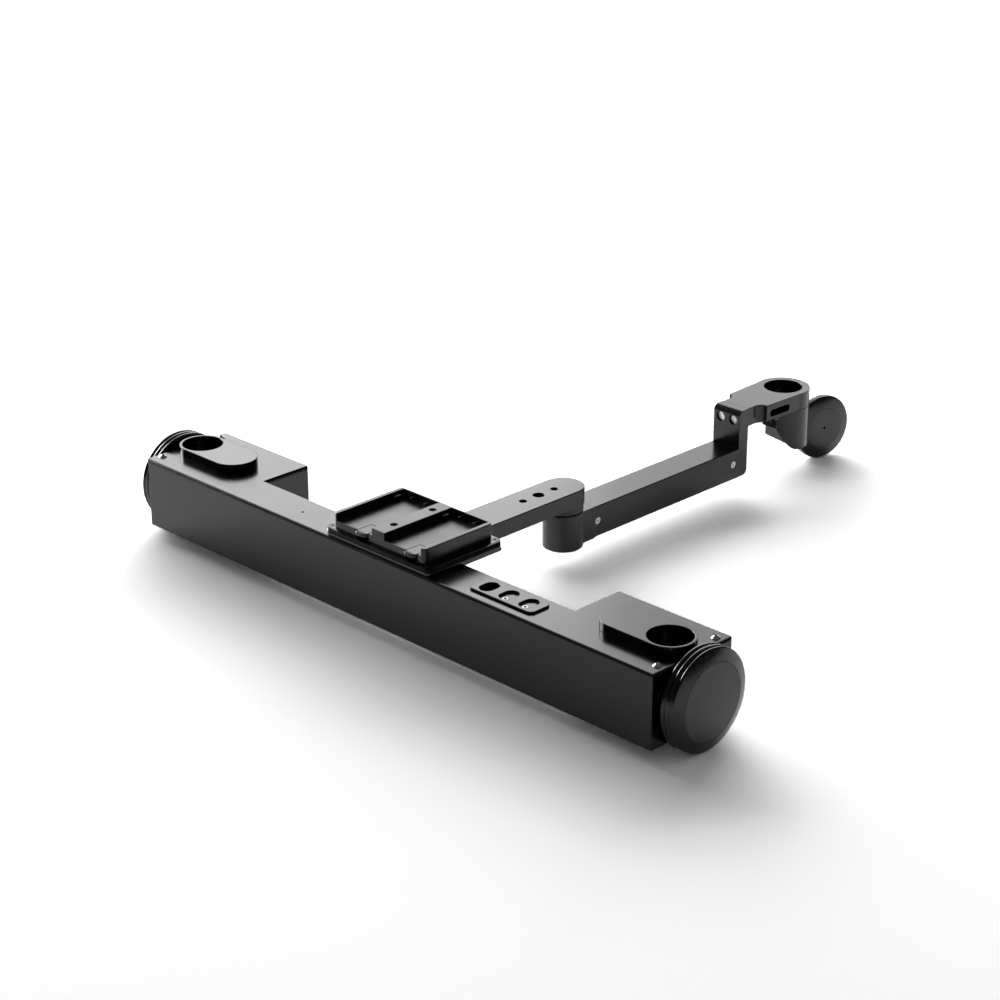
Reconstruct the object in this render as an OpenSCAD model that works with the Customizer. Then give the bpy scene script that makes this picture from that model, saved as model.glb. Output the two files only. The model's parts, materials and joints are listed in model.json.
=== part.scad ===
// Motorized camera dolly: a long drive chassis with two powered wheels, a jointed rear arm and a trailing caster.
// Millimetres. X runs along the chassis, Y from the front face back towards the arm, Z up from the floor.

/* [Chassis] */
// Length of the chassis box between the wheels
chassis_len = 560; // [500:2:640]
// Depth of the two end blocks, front to back
block_depth = 82.8; // [82.8:0.4:88]
// Depth of the narrow beam between the end blocks
beam_depth = 35.3; // [34.5:0.1:35.5]
// Length of each end block along the chassis
block_len = 106.4; // [105.4:0.2:110]
// Ground clearance under the chassis
ground_gap = 10.6; // [9.6:0.2:11.6]
// Sheet thickness of shell, lid and end plates
sheet_t = 3; // [2.6:0.1:3.2]

/* [Tripod cups] */
// Radius of the foot holes
cup_r = 17; // [16:0.1:17.4]
// Wall left round a front foot hole
cup_wall = 2.2; // [2:0.1:2.4]
// Distance from the end of the chassis to the middle of each front foot hole
cup_inset = 20.9; // [20.6:0.1:23]
// Height of the front cup housings above the lid
cup_rise = 7.5; // [6:0.5:9]

/* [Drive wheels] */
// Tyre radius of the drive wheels
wheel_r = 39.3; // [39:0.1:39.6]
// Radius of the face cap on each drive wheel
cap_r = 29.4; // [27:0.1:29.4]
// Height of the dome on the face cap
cap_dome = 0.9; // [0.6:0.1:1.5]

/* [Battery tray] */
// Width of one battery bay
bay_w = 40.2; // [39.8:0.1:40.6]
// Depth of the bay below the tray rim
bay_h = 6.6; // [6:0.1:6.8]
// Downward travel of a battery latch
latch_travel = 1.2; // [0.8:0.1:1.2]

/* [Arm] */
// Distance from the shoulder bolt to the elbow bolt
inner_len = 149.5; // [148:0.5:150]
// Half the width of the flat inner arm
inner_half = 17.4; // [17:0.1:17.4]
// Thickness of the flat inner arm
inner_t = 13.7; // [13:0.1:14]
// Distance from the elbow bolt to the upright bracket
outer_len = 204.5; // [196:0.5:230]
// Half the width of the outer arm tube
tube_half = 14.7; // [14.2:0.1:15]
// Height of the outer arm tube
tube_h = 26.6; // [26:0.1:26.8]
// Wall of the outer arm tube
tube_wall = 2.5; // [2:0.1:3]

/* [Caster] */
// Radius of the caster body and of the rear cup head
head_r = 23.5; // [22.5:0.1:24]
// Radius of the rear wheel
rear_r = 29.2; // [28.8:0.1:29.4]
// Trail from the steering axis to the rear axle
trail = 50.3; // [48:0.1:51]
// Width of the rear wheel
rear_w = 10; // [9:0.5:10]
// Angle the caster stands at, seen from above
steer = -12; // [-16:1:0]

/* [Hidden] */
$fn = 96;
// Running clearance of a shaft in its hole
run = 0.05;
// Gap between flat faces of parts that turn against each other
slip = 0.1;
// Clearance round a part that slides or a screw in its hole
ease = 0.15;
// Gap between caster and head, and other open gaps between moving bodies
air = 0.3;

half_len = chassis_len / 2;
block_inner = half_len - block_len;
lid_top = 70.1;
lid_bot = lid_top - sheet_t;
shell_floor = ground_gap + sheet_t;
wheel_y = 42.8;
hub_gap = 3;
tyre_w = 15;
tyre_in = half_len + hub_gap;
tyre_out = tyre_in + tyre_w;
tyre_rib = 2.1;
tyre_groove = 1.3;
tyre_round = 1.6;
tyre_drop = 4.5;
tyre_seam = 0.6;
shaft_r = 4;
bearing_r = 11;
bearing_w = 7;
boss_len = 11;
boss_x = half_len - sheet_t - boss_len;
seat_x = boss_x + bearing_w + 0.5;
motor_r = 18;
motor_len = 26;
can_r = 16;
can_len = 48;
mount_t = 4;
mount_x = boss_x - mount_t;
cup_x = half_len - cup_inset;
cup_y = 41.6;
cup_pad_r = cup_r - 1;
cup_floor_t = 2;
cup_floor = 61.5;
cup_pad_t = 1.5;
cup_inner = 41.4;
deck_screw_x = half_len - 5.9;
deck_screw_y = [11.4, 72.7];
screw_r = 2;
screw_head_r = 3.5;
screw_head_h = 2.1;
post_w = 8;

// Battery tray
flange_half = 58.5;
flange_y0 = 1;
flange_y1 = 78.5;
flange_t = 6.6;
flange_top = lid_top + flange_t;
under_t = 2.5;
tray_side = 3.9;
rib_half = 6.9;
tray_half = rib_half + bay_w + tray_side;
tray_y0 = 3.6;
tray_y1 = 75.3;
tray_h = 12.4;
tray_top = flange_top + tray_h;
bay_back = 1.6;
bay_floor = tray_top - bay_h;
bay_lip = 0.7;
latch_w = 11.5;
latch_len = 14;
latch_off = 5.5;
latch_t = 2.9;
latch_foot = 0.9;
latch_foot_t = 0.9;
latch_y0 = 4.5;
tab_y0 = 1.2;
latch_x = rib_half + bay_w - latch_off - latch_w / 2;
latch_low = flange_top + latch_travel + 0.6;
spring_r = 3;
spring_wire = 0.4;
tray_screw_y = [20.2, 60.4];
hook_len = 3.2;
hook_w = 6;
hook_t = 1.2;
hook_y = tray_y1 - 13.3;

// Port plate
port_x0 = 91.5;
port_x1 = 157;
port_y0 = 7.8;
port_y1 = 29.6;
port_rise = 1.7;
port_y = 18.7;
port_step = 20.3;
port_r = 6.05;
port_half = 2.35;
port_mid = (port_x0 + port_x1) / 2;
port_floor = 68.9;
jack_r = 2.65;
jack_hole = 1.35;
jack_y = port_y - 4;

// Shoulder and inner arm
shoulder_y = 56;
arm_top = 66.8;
arm_bot = arm_top - inner_t;
bolt_r = 5;
bush_r = 7;
washer_r = 11;
shoulder_top = lid_top + 2.4;
elbow_y = shoulder_y + inner_len;
big_hole = 4.76;
small_hole = 3.18;
hole_y = [elbow_y - 46.4, elbow_y - 10.4];
big_y = elbow_y - 28.6;

// Elbow and outer arm
collar_r = 16.6;
barrel_r = 16.8;
barrel_top = 46.5;
barrel_bot = 13.9;
tube_bot = 18.7;
tube_top = tube_bot + tube_h;
knuckle_end = elbow_y + 21.8;
knuckle_half = tube_half + 0.4;
plug_len = 18;
tube_end = elbow_y + outer_len;
side_screw_y = [knuckle_end + 4.7, tube_end - 6.3];
side_screw_z = 32;
leg_t = 11.7;
leg_half = tube_half - 0.2;
leg_back = tube_end + leg_t;
leg_r = 5;

// Rear head
head_top = 79.1;
head_t = 14.8;
head_bot = head_top - head_t;
neck_t = 16.4;
neck_bot = head_top - neck_t;
neck_half = 13.9;
head_front = head_r - 2.7;
scallop_r = head_front - neck_half;
neck_end = leg_back + 9.8;
head_y = leg_back + 64.8;
seat_r = 19.5;
head_slot_y = [neck_end + 14.2, neck_end + 33.8];
seat_bot = 58;
rear_floor = 61;
rear_pad_t = 2.6;
steer_r = 4;
steer_head_r = 7.5;
tab_drop = 8.2;
tab_x = 24 - tab_drop;
tab_screw_x = 18.5;
head_slot_r = 3.05;
head_slot_z = head_bot + 6.2;
bracket_screw_x = 6.9;
bracket_screw_z = head_top - 9.2;
bracket_head_r = 3.9;

// Caster in its own frame, steering axis at the origin and the wheel towards +Y
caster_top = head_bot - air;
caster_bot = 26.6;
bowl_floor = 56.8;
pocket_top = 50;
pocket_wall = 1;
pocket_slope = 2.25;
pocket_foot = head_r + 0.75;
fork_out = 21.5;
fork_in = rear_w + 1.2;
fork_r = 9;
axle_r = 3;
rear_bearing_r = 8;
rear_disc_r = 18.2;
rear_seat = 3.8;
rear_clear_r = 5;
rear_hole_r = 1.4;
shoulder_c = 3;
rim_drop = 1.6;

depth_all = head_y + (rear_w - shoulder_c) * sin(-steer) + (trail + rear_r - shoulder_c) * cos(steer) + shoulder_c;

// Shared shapes

module place() {
    translate([0, -depth_all / 2, 0]) children();
}

module caster_place() {
    place() translate([0, head_y, 0]) rotate([0, 0, steer]) children();
}

module zcyl(r, z0, z1) {
    translate([0, 0, z0]) cylinder(h = z1 - z0, r = r);
}

module xcyl(r, x0, x1) {
    translate([x0, 0, 0]) rotate([0, 90, 0]) cylinder(h = x1 - x0, r = r);
}

module ycyl(r, y0, y1) {
    translate([0, y1, 0]) rotate([90, 0, 0]) cylinder(h = y1 - y0, r = r);
}

module box(x0, x1, y0, y1, z0, z1) {
    translate([x0, y0, z0]) cube([x1 - x0, y1 - y0, z1 - z0]);
}

// Profile drawn in Y and Z, extruded along X
module along_x(x0, x1) {
    translate([x0, 0, 0]) rotate([90, 0, 90]) linear_extrude(x1 - x0) children();
}

// Profile drawn in X and Z, extruded along Y
module along_y(y0, y1) {
    translate([0, y1, 0]) rotate([90, 0, 0]) linear_extrude(y1 - y0) children();
}

// Plate with round corners and a chamfer round its top
module plate(x0, x1, y0, y1, z0, z1, r, c) {
    for (x = [x0 + r, x1 - r]) for (y = [y0 + r, y1 - r]) translate([x, y, 0]) {
        zcyl(r, z0, z1 - c);
        translate([0, 0, z1 - c]) cylinder(h = c, r1 = r, r2 = r - c);
    }
    along_y(y0 + r, y1 - r) polygon([[x0, z0], [x1, z0], [x1, z1 - c], [x1 - c, z1], [x0 + c, z1], [x0, z1 - c]]);
    along_x(x0 + r, x1 - r) polygon([[y0, z0], [y1, z0], [y1, z1 - c], [y1 - c, z1], [y0 + c, z1], [y0, z1 - c]]);
}

// Hole with its long sides along Y
module slot_y(r, half, z0, z1) {
    for (s = [-half, half]) translate([0, s, 0]) zcyl(r, z0, z1);
    box(-r, r, -half, half, z0, z1);
}

// Socket screw pointing down, head underside at z = 0
// Point where a line from p just touches the circle round c, on its left
function touch(p, c, r) = let (d = c - p, a = atan2(d[1], d[0]) + asin(r / norm(d))) c + r * [-sin(a), cos(a)];

module screw(r, head_r, head_h, len) {
    difference() {
        union() {
            zcyl(r, -len, 0.01);
            zcyl(head_r, 0, head_h * 0.5);
            translate([0, 0, head_h * 0.5]) cylinder(h = head_h * 0.5, r1 = head_r, r2 = head_r * 0.6);
        }
        translate([0, 0, head_h * 0.4]) cylinder(h = head_h, r = head_r * 0.36, $fn = 6);
    }
}

// Flat screw pointing down, top of the head at z = 0
module flat_screw(r, head_r, head_h, len) {
    difference() {
        union() {
            zcyl(r, -len, -head_h + 0.01);
            zcyl(head_r, -head_h, 0);
        }
        translate([0, 0, -head_h * 0.6]) cylinder(h = head_h, r = head_r * 0.4, $fn = 6);
    }
}

// Chassis outline from above, drawn in by the amount t
module outline(t, end) {
    polygon([[-end, t], [end, t], [end, block_depth - t], [block_inner + t, block_depth - t], [block_inner + t, beam_depth - t],
        [-block_inner - t, beam_depth - t], [-block_inner - t, block_depth - t], [-end, block_depth - t]]);
}

flange_screw = [[flange_half - 4.5, flange_y0 + 4.5], [flange_half - 4.5, flange_y1 - 4.5]];
end_screw = [[9, 24], [9, 50], [block_depth - 6.2, 24], [block_depth - 6.2, 50]];
board_x = 79;
board_w = 83;
board_y0 = 6;
board_d = 24;
board_t = 1.6;
board_bot = shell_floor + 3;
board_post = [for (x = [-board_x - board_w + 4, -board_x - 4]) for (y = [board_y0 + 3, board_y0 + board_d - 3]) [x, y]];

module chassis_shell() color("dimgray") place() {
    ex = half_len - sheet_t;
    difference() {
        union() {
            difference() {
                translate([0, 0, ground_gap]) linear_extrude(lid_bot - ground_gap) outline(0, ex);
                translate([0, 0, shell_floor]) linear_extrude(lid_bot) outline(sheet_t, ex + 1);
            }
            for (s = [-1, 1]) for (y = [[0, 16], [block_depth - 14.5, block_depth]])
                box(min(s * ex, s * (ex - post_w)), max(s * ex, s * (ex - post_w)), y[0], y[1], ground_gap, lid_bot);
            for (s = [-1, 1]) box(s * flange_screw[0][0] - 4, s * flange_screw[0][0] + 4, 0, 10, ground_gap, lid_bot);
            for (p = board_post) translate([p[0], p[1], 0]) zcyl(2.5, ground_gap, board_bot);
        }
        for (s = [-1, 1]) for (y = deck_screw_y) translate([s * deck_screw_x, y, 0]) zcyl(screw_r, lid_bot - 9, lid_bot + 1);
        for (s = [-1, 1]) translate([s * flange_screw[0][0], flange_screw[0][1], 0]) zcyl(screw_r, lid_bot - 9, lid_bot + 1);
        for (p = end_screw) translate([0, p[0], p[1]]) {
            xcyl(1.5, -ex - 1, -ex + 6);
            xcyl(1.5, ex - 6, ex + 1);
        }
    }
}

module chassis_lid() color("gray") place() difference() {
    translate([0, 0, lid_bot]) linear_extrude(sheet_t) outline(0, half_len);
    for (s = [-1, 1]) for (y = deck_screw_y) translate([s * deck_screw_x, y, 0]) zcyl(screw_r + ease, lid_bot - 1, lid_top + 1);
    for (s = [-1, 1]) translate([s * cup_x, cup_y, 0]) zcyl(cup_r + cup_wall, lid_bot - 1, lid_top + 1);
    for (s = [-1, 1]) translate([s * (cup_x - cup_inner), cup_y, 0]) zcyl(1.5 + ease, lid_bot - 1, lid_top + 1);
    for (s = [-1, 1]) translate([s * flange_screw[0][0], flange_screw[0][1], 0]) zcyl(screw_r + ease, lid_bot - 1, lid_top + 1);
    box(port_x0 + 4, port_x1 - 4, port_y0 + 1.5, port_y1 - 1.5, lid_bot - 1, lid_top + 1);
    translate([-101.8, 16.3, 0]) zcyl(1.25, lid_bot - 1, lid_top + 1);
    // Chamfer along the top edge of the front, the back and both ends
    for (y = [0, block_depth]) translate([0, y, lid_top]) rotate([45, 0, 0]) cube([chassis_len + 2, 0.7, 0.7], center = true);
    for (s = [-1, 1]) translate([s * half_len, block_depth / 2, lid_top]) rotate([0, 45, 0]) cube([0.7, block_depth + 2, 0.7], center = true);
}

module end_plate() difference() {
    union() {
        box(half_len - sheet_t, half_len, 0, block_depth, ground_gap, lid_bot);
        translate([0, wheel_y, wheel_r]) xcyl(bearing_r + 2.5, boss_x, half_len - sheet_t + 1);
    }
    translate([0, wheel_y, wheel_r]) {
        xcyl(bearing_r, boss_x - 1, seat_x);
        xcyl(shaft_r + 3, boss_x, half_len + 1);
    }
    for (p = end_screw) translate([0, p[0], p[1]]) {
        xcyl(1.5 + ease, half_len - sheet_t - 1, half_len + 1);
        xcyl(2.8 + ease, half_len - 1.6, half_len + 1);
    }
    // Room for the foot cup that hangs through the lid
    translate([cup_x, cup_y, 0]) zcyl(cup_r + cup_wall + ease, cup_floor - cup_floor_t - ease, lid_top);
}

module end_plate_right() color("dimgray") place() end_plate();
module end_plate_left() color("dimgray") place() mirror([1, 0, 0]) end_plate();

module end_screws() color("silver") place() for (m = [0, 1]) mirror([m, 0, 0])
    for (p = end_screw) translate([half_len, p[0], p[1]]) rotate([0, 90, 0]) flat_screw(1.5, 2.8, 1.6, 8.6);

module lid_screws() color("silver") place() for (s = [-1, 1]) for (y = deck_screw_y)
    translate([s * deck_screw_x, y, lid_top]) screw(screw_r, screw_head_r, screw_head_h, sheet_t + 8.5);

module cup_housing() difference() {
    union() {
        for (x = [cup_x, cup_x - cup_inner]) translate([x, cup_y, 0]) zcyl(cup_r + cup_wall, lid_top, lid_top + cup_rise);
        box(cup_x - cup_inner, cup_x, cup_y - cup_r - cup_wall, cup_y + cup_r + cup_wall, lid_top, lid_top + cup_rise);
        translate([cup_x, cup_y, 0]) zcyl(cup_r + cup_wall, cup_floor - cup_floor_t, lid_top + 1);
    }
    translate([cup_x, cup_y, 0]) {
        zcyl(cup_r, cup_floor + cup_pad_t, lid_top + cup_rise + 1);
        zcyl(cup_pad_r, cup_floor, lid_top);
    }
    translate([cup_x - cup_inner, cup_y, 0]) zcyl(1.5, lid_top - 1, lid_top + 5);
}

module cup_housing_right() color("dimgray") place() cup_housing();
module cup_housing_left() color("dimgray") place() mirror([1, 0, 0]) cup_housing();

module cup_screws() color("silver") place() for (s = [-1, 1])
    translate([s * (cup_x - cup_inner), cup_y, lid_bot]) mirror([0, 0, 1]) screw(1.5, 3, 2, sheet_t + 4.5);

module cup_pads() color("black") place() for (s = [-1, 1])
    translate([s * cup_x, cup_y, 0]) zcyl(cup_pad_r, cup_floor, cup_floor + cup_pad_t);

module gear_motor() translate([0, wheel_y, wheel_r]) difference() {
    union() {
        xcyl(motor_r, mount_x - motor_len, mount_x);
        xcyl(can_r, mount_x - motor_len - can_len, mount_x - motor_len + 1);
        xcyl(6, mount_x - motor_len - can_len - 4, mount_x - motor_len);
    }
    xcyl(shaft_r + run, mount_x - 12, mount_x + 1);
    for (a = [45:90:315]) rotate([a, 0, 0]) translate([0, 0, 13]) xcyl(1.5, mount_x - 6, mount_x + 1);
}
module gear_motor_right() color("silver") place() gear_motor();
module gear_motor_left() color("silver") place() mirror([1, 0, 0]) gear_motor();

module motor_mount() difference() {
    union() {
        box(mount_x, mount_x + mount_t, wheel_y - 22, wheel_y + 22, shell_floor, cup_floor - cup_floor_t - 1);
        box(mount_x - motor_len, mount_x + 1, wheel_y - 22, wheel_y + 22, shell_floor, shell_floor + 4);
    }
    translate([0, wheel_y, wheel_r]) {
        xcyl(shaft_r + 3, mount_x - 1, mount_x + mount_t + 1);
        for (a = [45:90:315]) rotate([a, 0, 0]) translate([0, 0, 13]) xcyl(1.5 + ease, mount_x - 1, mount_x + mount_t + 1);
    }
}
module motor_mount_right() color("dimgray") place() motor_mount();
module motor_mount_left() color("dimgray") place() mirror([1, 0, 0]) motor_mount();

module shaft_bearing() translate([0, wheel_y, wheel_r]) difference() {
    xcyl(bearing_r, seat_x - bearing_w, seat_x);
    xcyl(shaft_r + run, seat_x - bearing_w - 1, seat_x + 1);
    difference() {
        xcyl(bearing_r - 2, seat_x - 0.6, seat_x + 1);
        xcyl(shaft_r + 2, seat_x - 1, seat_x + 2);
    }
}
module shaft_bearings() color("silver") place() for (m = [0, 1]) mirror([m, 0, 0]) shaft_bearing();

module drive_shaft() translate([0, wheel_y, wheel_r]) xcyl(shaft_r, mount_x - 10, tyre_out - 5);
module drive_shaft_right() color("silver") place() drive_shaft();
module drive_shaft_left() color("silver") place() mirror([1, 0, 0]) drive_shaft();

module wheel_hub() translate([0, wheel_y, wheel_r]) difference() {
    union() {
        xcyl(9, tyre_in - 1, tyre_out - 3.2);
        xcyl(cap_r + 2, tyre_in + 4, tyre_in + 7);
        difference() {
            xcyl(cap_r + 2, tyre_in + 0.5, tyre_out - 1);
            xcyl(cap_r - 2, tyre_in - 1, tyre_out);
        }
    }
    xcyl(shaft_r, tyre_in - 2, tyre_out - 5);
    xcyl(1.6, tyre_out - 6, tyre_out);
    difference() {
        xcyl(cap_r + ease, tyre_out - 3, tyre_out);
    }
}
module wheel_hub_right() color("dimgray") place() wheel_hub();
module wheel_hub_left() color("dimgray") place() mirror([1, 0, 0]) wheel_hub();

// Ridged tyre, profile drawn with the radius along X
tyre_edge = [wheel_r - tyre_round, tyre_w - tyre_drop];
tyre_lip = [cap_r + tyre_seam, tyre_w];
module tyre() translate([tyre_in, wheel_y, wheel_r]) rotate([0, 90, 0]) rotate_extrude() difference() {
    union() {
        polygon([[cap_r + 2, 0], [wheel_r - tyre_rib, 0], [wheel_r - tyre_rib, tyre_edge[1]],
            touch(tyre_lip, tyre_edge, 0.97 * tyre_round), tyre_lip, tyre_lip - [0, 3.2], [cap_r + 2, tyre_lip[1] - 3.2]]);
        for (x = [tyre_rib, 2 * tyre_rib + 1.9]) translate([wheel_r - tyre_rib, x]) circle(tyre_rib);
        translate(tyre_edge) circle(tyre_round);
    }
    translate([wheel_r, 2 * tyre_rib - 0.1]) circle(tyre_groove);
    translate([wheel_r, 3 * tyre_rib + 2.3]) circle(tyre_groove);
    translate([cap_r - 1, tyre_w - 4]) square([3, 3]);
}
module tyre_right() color("black") place() tyre();
module tyre_left() color("black") place() mirror([1, 0, 0]) tyre();

cap_arc = (cap_r * cap_r + cap_dome * cap_dome) / (2 * cap_dome);
module wheel_cap() translate([tyre_out, wheel_y, wheel_r]) rotate([0, 90, 0]) rotate_extrude() {
    translate([0, -3]) square([cap_r, 3.01]);
    intersection() {
        translate([0, cap_dome - cap_arc]) circle(cap_arc, $fn = 720);
        square([cap_r, cap_dome + 1]);
    }
}
module wheel_cap_right() color("dimgray") place() wheel_cap();
module wheel_cap_left() color("dimgray") place() mirror([1, 0, 0]) wheel_cap();

module control_board() color("darkgreen") place() difference() {
    union() {
        box(-board_x - board_w, -board_x, board_y0, board_y0 + board_d, board_bot, board_bot + board_t);
        // Processor, motor driver and two capacitors
        box(-board_x - board_w * 0.7, -board_x - board_w * 0.5, board_y0 + 5, board_y0 + board_d - 5, board_bot + 1, board_bot + 4);
        box(-board_x - board_w * 0.35, -board_x - board_w * 0.2, board_y0 + 4, board_y0 + board_d - 10, board_bot + 1, board_bot + 3.5);
        for (y = [board_y0 + 6, board_y0 + board_d - 6]) translate([-board_x - 11, y, 0]) zcyl(3, board_bot + 1, board_bot + 11);
    }
    for (p = board_post) translate([p[0], p[1], 0]) zcyl(1.2, board_bot - 1, board_bot + 5);
}

module tray_flange() color("dimgray") place() difference() {
    plate(-flange_half, flange_half, flange_y0, flange_y1, lid_top, flange_top, 5, 0.8);
    for (m = [0, 1]) mirror([m, 0, 0]) for (p = flange_screw) translate([p[0], p[1], 0]) {
        zcyl(screw_r + ease, lid_top - 1, flange_top + 1);
        zcyl(2.9 + ease, flange_top - 2, flange_top + 1);
    }
    translate([0, shoulder_y, 0]) zcyl(bolt_r, lid_top - 1, shoulder_top);
    for (y = tray_screw_y) translate([0, y, 0]) zcyl(1.5, lid_top + 3, flange_top + 1);
}

module flange_screws() color("silver") place() for (m = [0, 1]) mirror([m, 0, 0]) {
    translate([flange_screw[0][0], flange_screw[0][1], flange_top]) flat_screw(screw_r, 2.9, 2, flange_t + sheet_t + 8);
    translate([flange_screw[1][0], flange_screw[1][1], flange_top]) flat_screw(screw_r, 2.9, 2, flange_t + under_t - 0.3);
}

module under_plate() color("dimgray") place() difference() {
    box(1 - flange_half, flange_half - 1, beam_depth + air, flange_y1 - 1, lid_top - under_t, lid_top);
    translate([0, shoulder_y, 0]) zcyl(bolt_r, lid_top - under_t - 1, lid_top + 1);
    for (m = [0, 1]) mirror([m, 0, 0]) translate([flange_screw[1][0], flange_screw[1][1], 0]) zcyl(screw_r, lid_top - under_t - 1, lid_top + 1);
}

module latch_pocket(x) {
    w = latch_w / 2 + ease;
    box(x - w, x + w, tray_y0 - 1, latch_y0 + latch_len + ease, bay_floor - latch_t + latch_foot_t, bay_floor + 1);
    box(x - w - latch_foot, x + w + latch_foot, latch_y0 - ease, latch_y0 + latch_len + latch_foot + ease, flange_top, bay_floor - latch_t + latch_foot_t + 0.01);
    box(x - w, x + w, tray_y0 - 1, latch_y0, flange_top, bay_floor);
}

module battery_tray() color("gray") place() difference() {
    plate(-tray_half, tray_half, tray_y0, tray_y1, flange_top, tray_top, 4, 0.5);
    for (s = [-1, 1]) {
        x0 = min(s * rib_half, s * (rib_half + bay_w));
        box(x0, x0 + bay_w, tray_y0 + 1, tray_y1 - bay_back, bay_floor, tray_top + 1);
        box(x0, x0 + bay_w, tray_y0 - 1, tray_y0 + 2, bay_floor + bay_lip, tray_top + 1);
    }
    latch_pocket(latch_x);
    latch_pocket(latch_x - bay_w - 2 * rib_half);
    // Dark finger recess beside each latch
    for (x = [latch_x, latch_x - bay_w - 2 * rib_half])
        box(x + latch_w / 2 - 0.5, x + latch_w / 2 + 3.5, tray_y0 - 1, tray_y0 + 0.9, flange_top + 0.8, bay_floor + bay_lip + 1);
    for (y = tray_screw_y) translate([0, y, 0]) {
        zcyl(1.5 + ease, flange_top - 1, tray_top + 1);
        zcyl(3, tray_top - 3, tray_top + 1);
    }
}

module tray_screws() color("silver") place() for (y = tray_screw_y)
    translate([0, y, tray_top - 1]) flat_screw(1.5, 3, 2, tray_h + 2.4);

// Two steel hooks in the back corners of each bay
module battery_hooks() color("silver") place() for (s = [-1, 1]) for (e = [0, 1]) {
    x = s * (rib_half + bay_w / 2) + (e == 0 ? -1 : 1) * bay_w / 2;
    d = e == 0 ? 1 : -1;
    box(min(x, x + d * hook_len), max(x, x + d * hook_len), hook_y, hook_y + hook_w, bay_floor + 2.6, bay_floor + 4);
    box(min(x, x + d * hook_t), max(x, x + d * hook_t), hook_y, hook_y + 2, bay_floor, bay_floor + 3);
}

module battery_terminals() color("goldenrod") place() for (s = [-1, 1]) for (d = [-8, 8])
    translate([s * (rib_half + bay_w / 2) + d, 0, bay_floor + 2.6]) ycyl(0.9, tray_y1 - bay_back - 4, tray_y1 - bay_back);

module latch(x) difference() {
    union() {
        box(x - latch_w / 2, x + latch_w / 2, latch_y0, latch_y0 + latch_len, bay_floor - latch_t, bay_floor);
        box(x - latch_w / 2 - latch_foot, x + latch_w / 2 + latch_foot, latch_y0, latch_y0 + latch_len + latch_foot, bay_floor - latch_t, bay_floor - latch_t + latch_foot_t - slip);
        along_x(x - latch_w / 2, x + latch_w / 2 - 0.6) polygon([[tab_y0, bay_floor - 2.6], [tab_y0 + 1, latch_low], [latch_y0 + 1, latch_low],
            [latch_y0 + 1, bay_floor], [tray_y0, bay_floor], [tab_y0, bay_floor - 1.6]]);
    }
    translate([x, latch_y0 + 7, 0]) zcyl(spring_r + 0.6, bay_floor - 4, bay_floor - latch_t + 0.8);
}
module latch_right() color("silver") place() latch(latch_x);
module latch_left() color("silver") place() latch(latch_x - bay_w - 2 * rib_half);

spring_top = bay_floor - latch_t + 0.8;
module latch_spring(x) translate([x, latch_y0 + 7, flange_top]) {
    translate([0, 0, 0.2]) linear_extrude(spring_top - flange_top - 0.4, twist = -720, slices = 32, $fn = 8)
        translate([spring_r - spring_wire, 0]) circle(spring_wire, $fn = 8);
    for (z = [0, spring_top - flange_top - 0.4]) difference() {
        zcyl(spring_r, z, z + 0.4);
        zcyl(spring_r - 2 * spring_wire, z - 1, z + 1);
    }
}
module latch_spring_right() color("silver") place() latch_spring(latch_x);
module latch_spring_left() color("silver") place() latch_spring(latch_x - bay_w - 2 * rib_half);

module port_plate() color("gray") place() difference() {
    union() {
        plate(port_x0, port_x1, port_y0, port_y1, lid_top, lid_top + port_rise, 5, 0.3);
        box(port_x0 + 4 + ease, port_x1 - 4 - ease, port_y0 + 1.5 + ease, port_y1 - 1.5 - ease, lid_bot, lid_top + 0.1);
    }
    translate([port_mid - port_step, port_y, 0]) slot_y(port_r, port_half, lid_bot - 1, lid_top + port_rise + 1);
    for (x = [port_mid, port_mid + port_step]) {
        translate([x, port_y, 0]) slot_y(port_r, port_half, port_floor, lid_top + port_rise + 1);
        translate([x, jack_y, 0]) zcyl(jack_r, lid_bot - 1, lid_top);
    }
}

module power_jack() color("black") place() translate([port_mid - port_step, port_y, 0]) {
    difference() {
        box(-7, 7, -9.5, 9.5, lid_bot - 12, lid_bot);
        zcyl(5, lid_bot - 9, lid_bot + 1);
    }
    zcyl(1.25, lid_bot - 10, lid_bot - 1.5);
}

module jack_sockets() color("silver") place() for (x = [port_mid, port_mid + port_step]) translate([x, jack_y, 0]) difference() {
    union() {
        box(-3.5, 3.5, -3.5, 3.5, lid_bot - 9, lid_bot);
        zcyl(jack_r, lid_bot - 1, port_floor + 0.6);
    }
    zcyl(jack_hole, lid_bot - 7, lid_top);
}

module shoulder_bolt() color("silver") place() translate([0, shoulder_y, 0]) difference() {
    union() {
        zcyl(bolt_r, arm_bot - 2, shoulder_top);
        zcyl(9, arm_bot - 7, arm_bot - 1 - slip);
    }
    translate([0, 0, arm_bot - 8]) cylinder(h = 4.5, r = 4, $fn = 6);
}

module shoulder_washers() color("goldenrod") place() translate([0, shoulder_y, 0]) difference() {
    union() {
        zcyl(washer_r, arm_bot - 1 - slip, arm_bot - slip);
        zcyl(washer_r, arm_top + slip, lid_top - under_t);
    }
    zcyl(bolt_r, arm_bot - 3, lid_top + 1);
}

module shoulder_bush() color("goldenrod") place() translate([0, shoulder_y, 0]) difference() {
    zcyl(bush_r, arm_bot, arm_top);
    zcyl(bolt_r + run, arm_bot - 1, arm_top + 1);
}

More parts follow.
